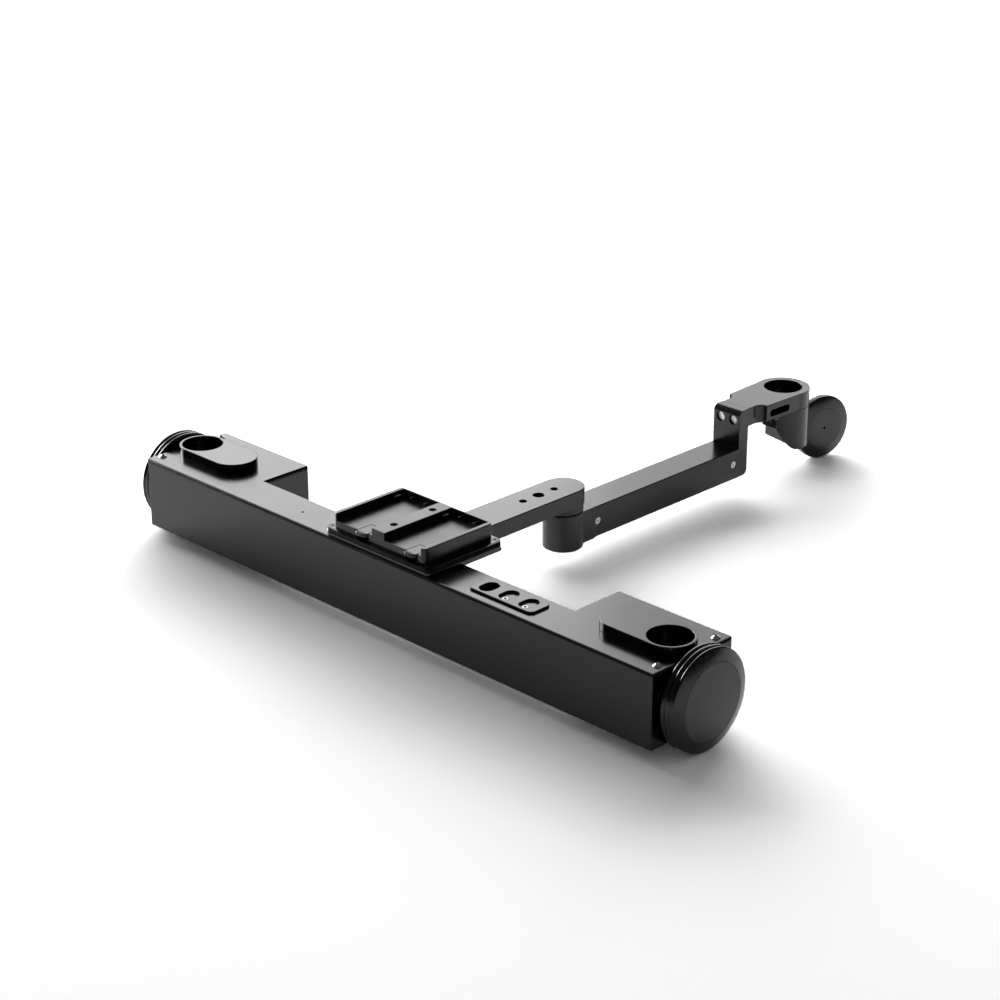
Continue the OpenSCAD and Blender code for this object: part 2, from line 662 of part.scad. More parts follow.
module inner_arm() color("gray") place() difference() {
    union() {
        for (y = [shoulder_y, elbow_y]) translate([0, y, 0]) {
            zcyl(inner_half, arm_bot, arm_top - 0.5);
            translate([0, 0, arm_top - 0.5]) cylinder(h = 0.5, r1 = inner_half, r2 = inner_half - 0.5);
        }
        along_y(shoulder_y, elbow_y) polygon([[-inner_half, arm_bot], [inner_half, arm_bot], [inner_half, arm_top - 0.5],
            [inner_half - 0.5, arm_top], [0.5 - inner_half, arm_top], [-inner_half, arm_top - 0.5]]);
    }
    translate([0, shoulder_y, 0]) zcyl(bush_r, arm_bot - 1, arm_top + 1);
    translate([0, elbow_y, 0]) zcyl(bolt_r, arm_bot - 1, arm_top - 3);
    translate([0, hole_y[0], 0]) zcyl(small_hole, arm_bot - 1, arm_top + 1);
    translate([0, hole_y[1], 0]) zcyl(small_hole, arm_top - 10, arm_top + 1);
    translate([0, big_y, 0]) zcyl(big_hole, arm_bot - 1, arm_top + 1);
}

module elbow_collar() color("dimgray") place() translate([0, elbow_y, 0]) difference() {
    zcyl(collar_r, barrel_top + slip, arm_bot);
    zcyl(bolt_r, barrel_top, arm_bot + 1);
}

module elbow_bolt() color("silver") place() translate([0, elbow_y, 0]) difference() {
    union() {
        zcyl(bolt_r, barrel_bot + 5, arm_top - 3);
        zcyl(8, barrel_bot + 1, barrel_bot + 6);
        zcyl(9, barrel_bot + 5.9, barrel_bot + 7);
    }
    translate([0, 0, barrel_bot]) cylinder(h = 4.5, r = 4, $fn = 6);
}

module elbow_bushes() color("goldenrod") place() translate([0, elbow_y, 0]) for (z = [[barrel_bot + 7 + slip, barrel_bot + 17], [barrel_top - 10, barrel_top]]) difference() {
    zcyl(bush_r, z[0], z[1]);
    zcyl(bolt_r + run, z[0] - 1, z[1] + 1);
}

module elbow_knuckle() color("dimgray") place() difference() {
    union() {
        translate([0, elbow_y, 0]) {
            zcyl(barrel_r, barrel_bot + 1, barrel_top - 1);
            translate([0, 0, barrel_top - 1]) cylinder(h = 1, r1 = barrel_r, r2 = barrel_r - 1);
            translate([0, 0, barrel_bot]) cylinder(h = 1, r1 = barrel_r - 1, r2 = barrel_r);
        }
        box(-knuckle_half, knuckle_half, elbow_y, knuckle_end, tube_bot - 0.8, tube_top + 0.5);
        box(-tube_half + tube_wall + run, tube_half - tube_wall - run, knuckle_end - 1, knuckle_end + plug_len, tube_bot + tube_wall + run, tube_top - tube_wall - run);
    }
    translate([0, elbow_y, 0]) {
        zcyl(bush_r, barrel_bot - 1, barrel_top + 1);
        zcyl(9.4, barrel_bot - 1, barrel_bot + 7 + slip);
    }
    for (m = [0, 1]) mirror([m, 0, 0]) translate([0, side_screw_y[0], side_screw_z]) xcyl(1.5, tube_half - 9, tube_half);
}

module outer_tube() color("gray") place() difference() {
    along_y(knuckle_end, tube_end) polygon([[-tube_half, tube_bot], [tube_half, tube_bot], [tube_half, tube_top - 0.6],
        [tube_half - 0.6, tube_top], [0.6 - tube_half, tube_top], [-tube_half, tube_top - 0.6]]);
    box(-tube_half + tube_wall, tube_half - tube_wall, knuckle_end - 1, tube_end + 1, tube_bot + tube_wall, tube_top - tube_wall);
    for (m = [0, 1]) mirror([m, 0, 0]) for (y = side_screw_y) translate([0, y, side_screw_z]) xcyl(3.1 + ease, tube_half - tube_wall - 1, tube_half + 1);
}

module tube_screws() color("silver") place() for (m = [0, 1]) mirror([m, 0, 0]) for (y = side_screw_y)
    translate([tube_half - 0.4, y, side_screw_z]) rotate([0, 90, 0]) flat_screw(1.5, 3.1, tube_wall - 0.4, 8);

module upright_bracket() color("dimgray") place() difference() {
    union() {
        along_x(-leg_half, leg_half) {
            translate([tube_end, tube_bot]) square([leg_t - leg_r, head_top - tube_bot - leg_r]);
            translate([tube_end + leg_r, tube_bot + leg_r]) square([leg_t - leg_r, head_top - tube_bot - leg_r]);
            translate([tube_end + leg_t - leg_r, tube_bot + leg_r]) circle(leg_r);
            translate([tube_end + leg_r, head_top - leg_r]) circle(leg_r);
        }
        box(-tube_half + tube_wall + run, tube_half - tube_wall - run, tube_end - plug_len, tube_end + 1, tube_bot + tube_wall + run, tube_top - tube_wall - run);
    }
    for (m = [0, 1]) mirror([m, 0, 0]) translate([0, side_screw_y[1], side_screw_z]) xcyl(1.5, tube_half - 9, tube_half);
    for (s = [-1, 1]) translate([s * bracket_screw_x, 0, bracket_screw_z]) {
        ycyl(bracket_head_r + 0.4, tube_end - 1, tube_end + 5);
        ycyl(2 + ease, tube_end, leg_back + 1);
    }
}

module bracket_screws() color("silver") place() for (s = [-1, 1])
    translate([s * bracket_screw_x, tube_end + 5, bracket_screw_z]) rotate([90, 0, 0]) screw(2, bracket_head_r, 3.6, leg_t - 5 + 9);

head_side = touch([-head_front, neck_end], [0, head_y], 0.985 * head_r);
module head_outline() difference() {
    union() {
        translate([0, head_y]) circle(head_r);
        polygon([[-head_front, neck_end], [head_front, neck_end], [-head_side[0], head_side[1]], head_side]);
        translate([-neck_half, leg_back]) square([2 * neck_half, neck_end - leg_back + 1]);
    }
    for (s = [-1, 1]) translate([s * head_front, neck_end]) circle(scallop_r);
}
module rear_head() color("dimgray") place() difference() {
    union() {
        translate([0, 0, head_bot]) linear_extrude(head_t) head_outline();
        intersection() {
            translate([0, 0, neck_bot]) linear_extrude(neck_t) head_outline();
            box(-head_r, head_r, leg_back, neck_end + 0.75 * scallop_r, neck_bot, head_top);
        }
        along_x(-neck_half, neck_half) difference() {
            translate([leg_back, neck_bot - 3]) square([3, 3.01]);
            translate([leg_back + 3, neck_bot - 3]) circle(3);
        }
        translate([0, head_y, 0]) zcyl(seat_r, seat_bot, head_bot + 1);
    }
    translate([0, head_y, 0]) {
        zcyl(cup_r, rear_floor + rear_pad_t, head_top + 1);
        zcyl(cup_pad_r, rear_floor, head_top);
        zcyl(steer_r + run, seat_bot - 1, rear_floor + 1);
    }
    for (y = head_slot_y) translate([0, y, head_slot_z]) xcyl(head_slot_r, 8, head_r + 1);
    box(8, head_r + 1, head_slot_y[0], head_slot_y[1], head_slot_z - head_slot_r, head_slot_z + head_slot_r);
    for (s = [-1, 1]) translate([s * bracket_screw_x, 0, bracket_screw_z]) ycyl(2, leg_back - 1, leg_back + 9.5);
    translate([tab_screw_x, neck_end + 20.5, 0]) zcyl(1, head_bot - 1, head_bot + 2.5);
}

module rear_pad() color("black") place() translate([0, head_y, 0]) difference() {
    zcyl(cup_pad_r, rear_floor, rear_floor + rear_pad_t);
    zcyl(steer_head_r + 0.5, rear_floor - 1, rear_floor + rear_pad_t + 1);
}

module index_tab() color("gray") place() difference() {
    union() {
        along_y(neck_end + 16.5, neck_end + 18.5) {
            intersection() {
                translate([tab_x, head_bot - tab_drop]) circle(tab_drop);
                translate([tab_x, head_bot - tab_drop]) square([tab_drop, tab_drop]);
            }
            translate([9, head_bot - tab_drop]) square([tab_x - 9 + 0.01, tab_drop]);
        }
        box(9, 22, neck_end + 17, neck_end + 23.5, head_bot - 1.5, head_bot);
    }
    translate([tab_screw_x, 0, head_bot - 3.7]) ycyl(1, neck_end + 16, neck_end + 19);
    translate([tab_screw_x, neck_end + 20.5, 0]) zcyl(1, head_bot - 2, head_bot + 1);
}

module steering_screw() color("silver") caster_place() difference() {
    union() {
        zcyl(steer_r, pocket_top + 1, rear_floor + slip + 0.5);
        zcyl(steer_head_r, rear_floor + slip, rear_floor + 2.4);
    }
    translate([0, 0, rear_floor + 0.8]) cylinder(h = 3, r = 2.9, $fn = 6);
}

module thrust_washer() color("goldenrod") caster_place() difference() {
    zcyl(seat_r - 1.5, bowl_floor, seat_bot - slip);
    zcyl(steer_r + ease, bowl_floor - 1, seat_bot + 1);
}

module caster_body() color("dimgray") caster_place() difference() {
    union() {
        zcyl(head_r, caster_bot, caster_top);
        along_x(-fork_out, -fork_in) {
            polygon([[0, caster_bot], [trail, rear_r - fork_r], [trail, rear_r + fork_r], [trail / 2, caster_top - 14], [0, caster_top - 8]]);
            translate([trail, rear_r]) circle(fork_r);
        }
    }
    zcyl(seat_r + slip, bowl_floor, caster_top + 1);
    zcyl(steer_r, pocket_top + 1, bowl_floor + 1);
    // Slanted pocket on the front
    along_y(-head_r - 1, pocket_wall) polygon([[-head_r - 1, caster_bot - 1], [pocket_foot, caster_bot - 1],
        [pocket_foot - (pocket_top - caster_bot + 1) / pocket_slope, pocket_top], [-head_r - 1, pocket_top]]);
    // Well round the wheel
    translate([0, trail, rear_r]) xcyl(rear_r + 1.3, -fork_in, head_r + 1);
    translate([0, trail, rear_r]) xcyl(axle_r, -fork_out - 1, -fork_in + 1);
}

module rear_axle() color("silver") caster_place() translate([0, trail, rear_r]) difference() {
    union() {
        xcyl(axle_r, -fork_out, -2);
        xcyl(4.6, -3.4, -1.8);
        xcyl(5, -fork_in, -fork_in + 0.8);
    }
    translate([-3, 0, 0]) rotate([0, 90, 0]) cylinder(h = 3, r = 1.7, $fn = 6);
}

module rear_bearing() color("silver") caster_place() translate([0, trail, rear_r]) difference() {
    xcyl(rear_bearing_r, 0.8 - rear_w, -rear_seat);
    xcyl(axle_r + run, -rear_w - 1, 0);
}

rim_edge = [rear_r - shoulder_c, -shoulder_c - rim_drop];
rim_face = [rear_disc_r + tyre_seam, 0];
module rear_wheel() color("black") caster_place() translate([0, trail, rear_r]) rotate([0, 90, 0]) rotate_extrude() difference() {
    union() {
        polygon([[0, -rear_w], [rim_edge[0], -rear_w], rim_edge, touch(rim_face, rim_edge, 0.97 * shoulder_c), rim_face, [0, 0]]);
        translate([rear_r - shoulder_c - 1, shoulder_c - rear_w]) square([shoulder_c + 1, rear_w - 2 * shoulder_c - rim_drop]);
        for (x = [shoulder_c - rear_w, -shoulder_c - rim_drop]) translate([rear_r - shoulder_c, x]) circle(shoulder_c);
    }
    translate([-1, -rear_w - 1]) square([rear_bearing_r + 1, rear_w + 1 - rear_seat]);
    translate([-1, -rear_w - 1]) square([rear_clear_r + 1, rear_w]);
    translate([-1, -2]) square([rear_hole_r + 1, 3]);
    translate([rear_disc_r, -0.5]) square([tyre_seam, 1]);
}

chassis_shell();
chassis_lid();
end_plate_left();
end_plate_right();
end_screws();
lid_screws();
cup_housing_left();
cup_housing_right();
cup_screws();
cup_pads();
gear_motor_left();
gear_motor_right();
motor_mount_left();
motor_mount_right();
shaft_bearings();
drive_shaft_left();
drive_shaft_right();
wheel_hub_left();
wheel_hub_right();
tyre_left();
tyre_right();
wheel_cap_left();
wheel_cap_right();
control_board();
tray_flange();
flange_screws();
under_plate();
battery_tray();
tray_screws();
battery_hooks();
battery_terminals();
latch_left();
latch_right();
latch_spring_left();
latch_spring_right();
port_plate();
power_jack();
jack_sockets();
shoulder_bolt();
shoulder_washers();
shoulder_bush();
inner_arm();
elbow_collar();
elbow_bolt();
elbow_bushes();
elbow_knuckle();
outer_tube();
tube_screws();
upright_bracket();
bracket_screws();
rear_head();
rear_pad();
index_tab();
steering_screw();
thrust_washer();
caster_body();
rear_axle();
rear_bearing();
rear_wheel();
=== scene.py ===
# %% [markdown]
# # Motorized camera dolly
# The dolly is a long black drive box with a wheel at each end, a battery tray on top, a jointed arm
# behind it and a caster at the end of the arm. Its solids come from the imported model, so this script
# gives them their finishes, swaps a few small pieces for finer ones, and sets up a small photo studio.

import json
import math

import bmesh
import bpy
import numpy as np
from mathutils import Matrix, Vector


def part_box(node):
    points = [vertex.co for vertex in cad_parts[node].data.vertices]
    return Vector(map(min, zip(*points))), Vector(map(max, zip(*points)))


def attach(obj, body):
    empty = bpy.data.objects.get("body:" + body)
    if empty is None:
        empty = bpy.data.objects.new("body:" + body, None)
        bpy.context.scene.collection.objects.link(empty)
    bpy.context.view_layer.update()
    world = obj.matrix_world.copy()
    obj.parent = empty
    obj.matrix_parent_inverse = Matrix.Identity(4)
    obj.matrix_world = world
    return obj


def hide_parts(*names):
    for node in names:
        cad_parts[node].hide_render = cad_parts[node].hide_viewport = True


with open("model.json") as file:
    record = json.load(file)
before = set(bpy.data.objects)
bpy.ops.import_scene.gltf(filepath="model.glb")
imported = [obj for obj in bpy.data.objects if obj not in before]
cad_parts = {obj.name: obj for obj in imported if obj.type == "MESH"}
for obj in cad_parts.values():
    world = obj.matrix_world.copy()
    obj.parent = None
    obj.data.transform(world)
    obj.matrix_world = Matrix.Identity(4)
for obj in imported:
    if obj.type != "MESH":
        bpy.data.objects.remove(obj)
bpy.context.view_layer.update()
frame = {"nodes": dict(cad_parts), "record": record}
MM = 0.001

# %% [markdown]
# ## Colours and nodes
# A paint chart gives colours as sRGB hex values, but a shader adds light up in linear numbers. So one
# function turns a hex value to linear, and a second one adds a shader node with its settings and links.


# %% A colour from a hex value, and one node from its settings
def linear(hex_colour):
    """Each sRGB channel c becomes ((c + 0.055) / 1.055) ** 2.4, or c / 12.92 where it is very dark."""
    channels = [int(hex_colour[i : i + 2], 16) / 255 for i in (1, 3, 5)]
    bright = [((c + 0.055) / 1.055) ** 2.4 if c > 0.04045 else c / 12.92 for c in channels]
    return (*bright, 1.0)


def add_node(tree, kind, settings=None, inputs=None):
    """Adds a shader node of that kind, sets its properties, and sets or links its input sockets.

    An input is given by its label, or by its number where several inputs have the same label.
    """
    node = tree.nodes.new(kind)
    for name, value in (settings or {}).items():
        setattr(node, name, value)
    for name, value in (inputs or {}).items():
        if isinstance(value, bpy.types.NodeSocket):
            tree.links.new(value, node.inputs[name])
        else:
            node.inputs[name].default_value = value
    return node


print("black anodising in linear numbers:", [round(c, 4) for c in linear("#0e0e10")[:3]])

# %% [markdown]
# ## The light on a folded edge
# A sheet that is folded or rolled has a wide round edge, and the solid has a sharp corner there. The
# bevel node of the shader rounds a corner by a fraction of a millimetre. For the wider folds the normal
# of the side is tilted upwards as it nears the fold, so that the light sees a curve.

# %% Lean a normal up towards the fold
FOLD_LEAN = 3.0


def lean_up(tree, place, normal, fold):
    """Adds FOLD_LEAN t squared upwards to the normal, t going from 0 to 1 between the two heights of fold."""
    height = add_node(tree, "ShaderNodeSeparateXYZ", None, {"Vector": place}).outputs["Z"]
    rise = add_node(tree, "ShaderNodeMapRange", None,
                    {"Value": height, "From Min": fold[0], "From Max": fold[1]}).outputs["Result"]
    square = add_node(tree, "ShaderNodeMath", {"operation": "POWER"}, {0: rise, 1: 2}).outputs["Value"]
    lean = add_node(tree, "ShaderNodeVectorMath", {"operation": "SCALE"},
                    {0: (0, 0, FOLD_LEAN), "Scale": square})
    tilted = add_node(tree, "ShaderNodeVectorMath", {"operation": "ADD"},
                      {0: normal, 1: lean.outputs["Vector"]})
    unit = add_node(tree, "ShaderNodeVectorMath", {"operation": "NORMALIZE"}, {0: tilted.outputs["Vector"]})
    return unit.outputs["Vector"]


# %% [markdown]
# ## One recipe for every surface
# No real surface is perfectly even. Each finish here has a fine grain, whose size is a real one in
# millimetres, and a slow cloudy change in its gloss from handling. A soft bevel in the shader rounds
# the edges, which is what draws the dark and bright lines along the corners of machined parts.

# %% A finish with grain, cloudy gloss and soft edges
CLOUD_MM = 45
TINT_SPREAD = 0.07
GLOSS_SPREAD = 0.02
SOFT_NOISE = {"Detail": 2.0, "Roughness": 0.5}
NOISE_SPAN = {"From Min": 0.3, "From Max": 0.7}


def finish(name, colour, metallic, roughness, grain_mm, grain_depth_mm, edge_mm=0.3, fold=None):
    """Principled surface: colour varies by 7 percent, roughness by plus or minus 0.02, bump by the grain."""
    material = bpy.data.materials.new(name)
    material.use_nodes = True
    tree = material.node_tree
    place = add_node(tree, "ShaderNodeTexCoord").outputs["Object"]
    grain = add_node(tree, "ShaderNodeTexNoise", None,
                     {"Vector": place, "Scale": 1 / (grain_mm * MM)} | SOFT_NOISE).outputs["Fac"]
    clouds = add_node(tree, "ShaderNodeTexNoise", None,
                      {"Vector": place, "Scale": 1 / (CLOUD_MM * MM)} | SOFT_NOISE).outputs["Fac"]
    gloss = add_node(tree, "ShaderNodeMapRange", None,
                     {"Value": clouds, "To Min": roughness - GLOSS_SPREAD, "To Max": roughness + GLOSS_SPREAD}
                     | NOISE_SPAN)
    shade = add_node(tree, "ShaderNodeMapRange", None,
                     {"Value": grain, "To Min": 1 - TINT_SPREAD, "To Max": 1 + TINT_SPREAD} | NOISE_SPAN)
    tint = add_node(tree, "ShaderNodeVectorMath", {"operation": "SCALE"},
                    {0: linear(colour)[:3], "Scale": shade.outputs["Result"]})
    rounded_edge = add_node(tree, "ShaderNodeBevel", {"samples": 8}, {"Radius": edge_mm * MM})
    normal = rounded_edge.outputs["Normal"]
    if fold:
        normal = lean_up(tree, place, normal, fold)
    bump = add_node(tree, "ShaderNodeBump", None,
                    {"Height": grain, "Distance": grain_depth_mm * MM, "Strength": 1.0, "Normal": normal})
    surface = tree.nodes["Principled BSDF"]
    tree.links.new(tint.outputs["Vector"], surface.inputs["Base Color"])
    tree.links.new(gloss.outputs["Result"], surface.inputs["Roughness"])
    tree.links.new(bump.outputs["Normal"], surface.inputs["Normal"])
    surface.inputs["Metallic"].default_value = metallic
    return material


print("grain and gloss vary with noise, and the clouds are", CLOUD_MM, "mm wide")

# %% [markdown]
# ## Black anodised aluminium
# Black anodising is a clear oxide layer dyed black over aluminium, so it shines like a dark dielectric:
# dull from straight on and bright at a glancing angle. The bead blasting under it is a grain of about
# 0.1 mm, drawn here at 0.6 mm so that it shows at all. The milled blocks have their edges broken by
# nearly a millimetre. The lid and the box are folded sheet, and the flange has a rolled edge.

# %% The anodised finishes
LID_FOLD_MM = 4.4
_, lid_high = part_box("chassis_lid")
LID_FOLD = (lid_high.z - LID_FOLD_MM * MM, lid_high.z)
flange_low, flange_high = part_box("tray_flange")
FLANGE_EDGE = (flange_low.z, flange_high.z)
# Colour, metallic, roughness, width and depth of the grain in mm, and the rounding of the edges in mm.
folded_sheet = finish("black anodised aluminium, folded sheet", "#0e0e10", 0.0, 0.20, 0.6, 0.0012, 0.6,
                      LID_FOLD)
rolled_plate = finish("black anodised aluminium, rolled edge", "#0e0e10", 0.0, 0.20, 0.6, 0.0012, 0.5,
                      FLANGE_EDGE)
sheet = finish("black anodised aluminium, flat sheet", "#0e0e10", 0.0, 0.20, 0.6, 0.0012, 0.6)
anodised = finish("black anodised aluminium, milled", "#0e0e10", 0.0, 0.21, 0.6, 0.0012, 0.8)
cup_block = finish("black anodised aluminium, turned", "#0b0b0c", 0.0, 0.17, 0.6, 0.001, 0.9)
grey_anodised = finish("dark grey anodised aluminium", "#2c2c2e", 0.0, 0.25, 0.6, 0.0012, 0.2)
print("the flange is", round((flange_high.z - flange_low.z) / MM, 1), "mm thick")

# %% [markdown]
# ## Bare and coated metals
# The screws of the lid, the bracket and the tube are polished stainless steel. Those of the tray, the
# flange, the cups and the end plates have a black oxide coat, which hides the metal under it. Shafts
# and bearings are bright drawn steel, the motors are zinc plated, their mounts are bare milled
# aluminium, and the bushes are sintered bronze, a little rough because it is pressed from powder.

# %% The metals
polished_steel = finish("polished stainless steel", "#d4d5d7", 1.0, 0.30, 0.4, 0.0006, 0.15)
drawn_steel = finish("bright drawn steel", "#9a9da0", 1.0, 0.30, 0.4, 0.002, 0.15)
black_oxide = finish("black oxide steel", "#0e0e0f", 0.0, 0.34, 0.4, 0.002, 0.2)
plated_steel = finish("zinc plated steel", "#8d9093", 1.0, 0.34, 0.6, 0.003)
milled_aluminium = finish("milled aluminium", "#a9acae", 1.0, 0.36, 0.4, 0.004)
bronze = finish("sintered bronze", "#a77b45", 1.0, 0.38, 0.4, 0.004)
print("steel finishes:", sum("steel" in m.name for m in bpy.data.materials))

# %% [markdown]
# ## Plastic and rubber
# The battery tray is moulded in nylon with glass fibres, which leave a fine grain of about 0.1 mm, drawn
# here at 0.7 mm. The tyres are smooth rubber and nearly glossy, the wheel caps have the even spark
# texture of their mould, and the control board has the green varnish of a printed circuit.

# %% The plastics, the rubber and the board
moulded_tray = finish("black glass-filled nylon, moulded", "#18181a", 0.0, 0.30, 0.7, 0.003, 0.5)
wheel_plastic = finish("black polycarbonate, fine spark texture", "#252526", 0.0, 0.34, 0.5, 0.004, 0.4)
rubber = finish("smooth black rubber", "#111112", 0.0, 0.16, 0.8, 0.003, 0.2)
solder_mask = finish("green solder mask", "#1f5a3a", 0.0, 0.35, 0.5, 0.003)
print("finishes:", len(bpy.data.materials))

# %% [markdown]
# ## A finish for every solid
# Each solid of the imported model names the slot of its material, so most finishes go by slot. A few
# solids have a finish of their own, because a folded sheet and a milled block of the same metal catch
# the light in different ways. The solids themselves aren't changed, only their material.

# %% Put the finishes on
SLOT_FINISH = {
    "anodised_aluminium": anodised,
    "moulded_tray": moulded_tray,
    "screw_steel": polished_steel,
    "bright_steel": drawn_steel,
    "motor_steel": plated_steel,
    "mount_aluminium": milled_aluminium,
    "bronze": bronze,
    "rubber_black": rubber,
    "wheel_plastic": wheel_plastic,
    "board": solder_mask,
}
NODE_FINISH = {
    "chassis_lid": folded_sheet,
    "chassis_shell": folded_sheet,
    "tray_flange": rolled_plate,
    "end_plate_left": sheet,
    "end_plate_right": sheet,
    "cup_housing_left": cup_block,
    "cup_housing_right": cup_block,
    "end_screws": black_oxide,
    "tray_screws": black_oxide,
    "flange_screws": black_oxide,
    "cup_screws": black_oxide,
    "battery_terminals": drawn_steel,
    "index_tab": grey_anodised,
}
for part in frame["record"]["subparts"]:
    mesh = frame["nodes"][part["node"]].data
    mesh.materials.clear()
    mesh.materials.append(NODE_FINISH.get(part["node"], SLOT_FINISH[part["material_slot"]]))

# %% [markdown]
# ## Surfaces from rings of points
# A turned or moulded piece is a stack of rings: a wheel is a profile carried round its axle, and a
# latch is one outline at rising heights. Blender could spin a profile, but rings worked out with numpy
# give exact points and even quads, and one small function then makes every new piece of this file.

# %% A mesh from rings of points
TURN = np.linspace(0, 2 * math.pi, 144, endpoint=False)
SHARP_ANGLE = math.radians(35)


def grid_piece(name, points, material, body):
    """points[ring, step] becomes a band of quads from each ring to the next, closed round every ring.

    The surface is closed, because its first and last rings are single points or are the same ring.
    """
    rings, steps, _ = points.shape
    index = np.arange(rings * steps).reshape(rings, steps)
    after = np.roll(index, -1, axis=1)
    quads = np.stack([index[:-1], after[:-1], after[1:], index[1:]], axis=-1).reshape(-1, 4)
    mesh = bpy.data.meshes.new(name)
    mesh.from_pydata(points.reshape(-1, 3).tolist(), [], quads.tolist())
    mesh.materials.append(material)
    work = bmesh.new()
    work.from_mesh(mesh)
    bmesh.ops.remove_doubles(work, verts=work.verts, dist=1e-7)
    bmesh.ops.recalc_face_normals(work, faces=work.faces)
    work.to_mesh(mesh)
    work.free()
    mesh.shade_smooth()
    mesh.set_sharp_from_angle(angle=SHARP_ANGLE)
    piece = bpy.data.objects.new(name, mesh)
    bpy.context.scene.collection.objects.link(piece)
    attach(piece, body)
    return piece


def axes_round(axis, hint):
    """Two unit vectors square to the axis and to each other.

    The first is axis x hint, or axis x X if the hint lies along the axis, and the second is axis x the first.
    """
    side = np.cross(axis, hint if abs(np.dot(axis, hint)) < 0.9 else [1, 0, 0])
    side /= np.linalg.norm(side)
    return side, np.cross(axis, side)


print("a ring has", len(TURN), "points")

# %% [markdown]
# ## Button head screws
# The four screws that hold the lid down are polished button heads: a low dome with a hexagon socket.
# The two screws of the upright bracket have a wider socket in a nearly flat head. The solids are plain
# there, so they are swapped for rings that go from round to hexagonal, which cuts the socket.

# %% Turn a head with a hexagon socket
HEXAGON = math.cos(math.pi / 6) / np.cos(np.mod(TURN, math.pi / 3) - math.pi / 6)
MOUTH = 1.08
CHAMFER = 0.06 * MM


def socket_head(centre, axis, radius, height, fall, socket, depth):
    """Rings of a head, sizes in mm: its top falls by fall times r squared, and its socket is a hexagon.

    A point is centre + r (cos a side + sin a across) + h axis, with r times cos 30 / cos (a mod 60 - 30)
    on the rings of the hexagon, whose mouth is 8 percent wider than the socket.
    """
    radius, height, fall, socket, depth = (size * MM for size in (radius, height, fall, socket, depth))
    axis = np.array(axis, float)
    side, across = axes_round(axis, [0, 1, 0])
    dome = [(radius * r, height - fall * r * r, False) for r in np.linspace(1, 0.5, 9)]
    cut = [(socket * MOUTH, height, True), (socket, height - CHAMFER, True),
           (socket, height - depth, True), (0, height - depth, True)]
    band = []
    for r, h, hexagonal in [(0, 0, False), (radius, 0, False), *dome, *cut]:
        reach = r * (HEXAGON if hexagonal else 1)
        round_ring = np.outer(reach * np.cos(TURN), side) + np.outer(reach * np.sin(TURN), across)
        band.append(np.array(centre) + round_ring + h * axis)
    return np.stack(band)


LID_SCREW = {"radius": 3.5, "height": 2.1, "fall": 1.8, "socket": 1.35, "depth": 2.6}
low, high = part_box("lid_screws")
edge = LID_SCREW["radius"] * MM
lid_top = high.z - LID_SCREW["height"] * MM
for x, side_name in ((low.x + edge, "left"), (high.x - edge, "right")):
    for y, row_name in ((low.y + edge, "front"), (high.y - edge, "back")):
        rings = socket_head((x, y, lid_top), (0, 0, 1), **LID_SCREW)
        screw = grid_piece(f"lid_screw_{side_name}_{row_name}", rings, polished_steel, "chassis")
        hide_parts("lid_screws")
print("lid screws stand", round((high.z - lid_top) / MM, 2), "mm above the lid")

BRACKET_SCREW = {"radius": 3.9, "height": 3.6, "fall": 0.3, "socket": 1.9, "depth": 0.6}
low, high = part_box("bracket_screws")
edge = BRACKET_SCREW["radius"] * MM
seat_y = low.y + BRACKET_SCREW["height"] * MM
for x, side_name in ((low.x + edge, "left"), (high.x - edge, "right")):
    rings = socket_head((x, seat_y, (low.z + high.z) / 2), (0, -1, 0), **BRACKET_SCREW)
    screw = grid_piece(f"bracket_screw_{side_name}", rings, polished_steel, "outer_arm")
    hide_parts("bracket_screws")
print("bracket screws are", round((high.x - low.x) / MM - 2 * BRACKET_SCREW["radius"], 1), "mm apart")

# %% [markdown]
# ## Turned outlines
# A wheel's section is drawn as a few corners, each with the size of its rounding, as on a workshop
# drawing. One function rounds the corners, and a second one carries the closed outline round an axle.


# %% Round the corners of an outline, and carry it round an axle
def rounded(corners, steps=6):
    """Each corner (x, y, size) becomes a curve (1-t)^2 a + 2t(1-t) corner + t^2 b.

    The ends a and b lie size away from the corner, on its two sides. Corners are in mm, the curve in metres.
    """
    corners = np.array(corners, float)
    spot, size = corners[:, :2], corners[:, 2:]
    before, after = np.roll(spot, 1, axis=0) - spot, np.roll(spot, -1, axis=0) - spot
    a = spot + size * before / np.linalg.norm(before, axis=1, keepdims=True)
    b = spot + size * after / np.linalg.norm(after, axis=1, keepdims=True)
    t = np.linspace(0, 1, steps)[None, :, None]
    curve = (1 - t) ** 2 * a[:, None] + 2 * t * (1 - t) * spot[:, None] + t**2 * b[:, None]
    return curve.reshape(-1, 2) * MM


def turned(name, outline, centre, axis, material, body):
    """A closed outline of (radius, height) round an axis: centre + r (cos a side + sin a across) + h axis."""
    axis = np.array(axis, float)
    side, across = axes_round(axis, [0, 0, 1])
    spokes = np.cos(TURN)[:, None] * side + np.sin(TURN)[:, None] * across
    loop = np.vstack([outline, outline[:1]])
    points = np.array(centre) + loop[:, :1, None] * spokes + loop[:, 1:, None] * axis
    return grid_piece(name, points, material, body)


# %% [markdown]
# ## Drive wheels
# Each drive wheel has a rubber tyre with two narrow grooves near the chassis, and a face that slopes
# out to a round plastic cap with a slight dome. They are outlines carried round an axle, with soft
# corners, because round pieces show their facets most, and the light runs along the ribs of a tyre as
# thin bright lines.

# %% Tyres and caps
TYRE_R, GROOVE_R, SEAT_R, FACE_R = 39.3, 38.0, 31.4, 29.7
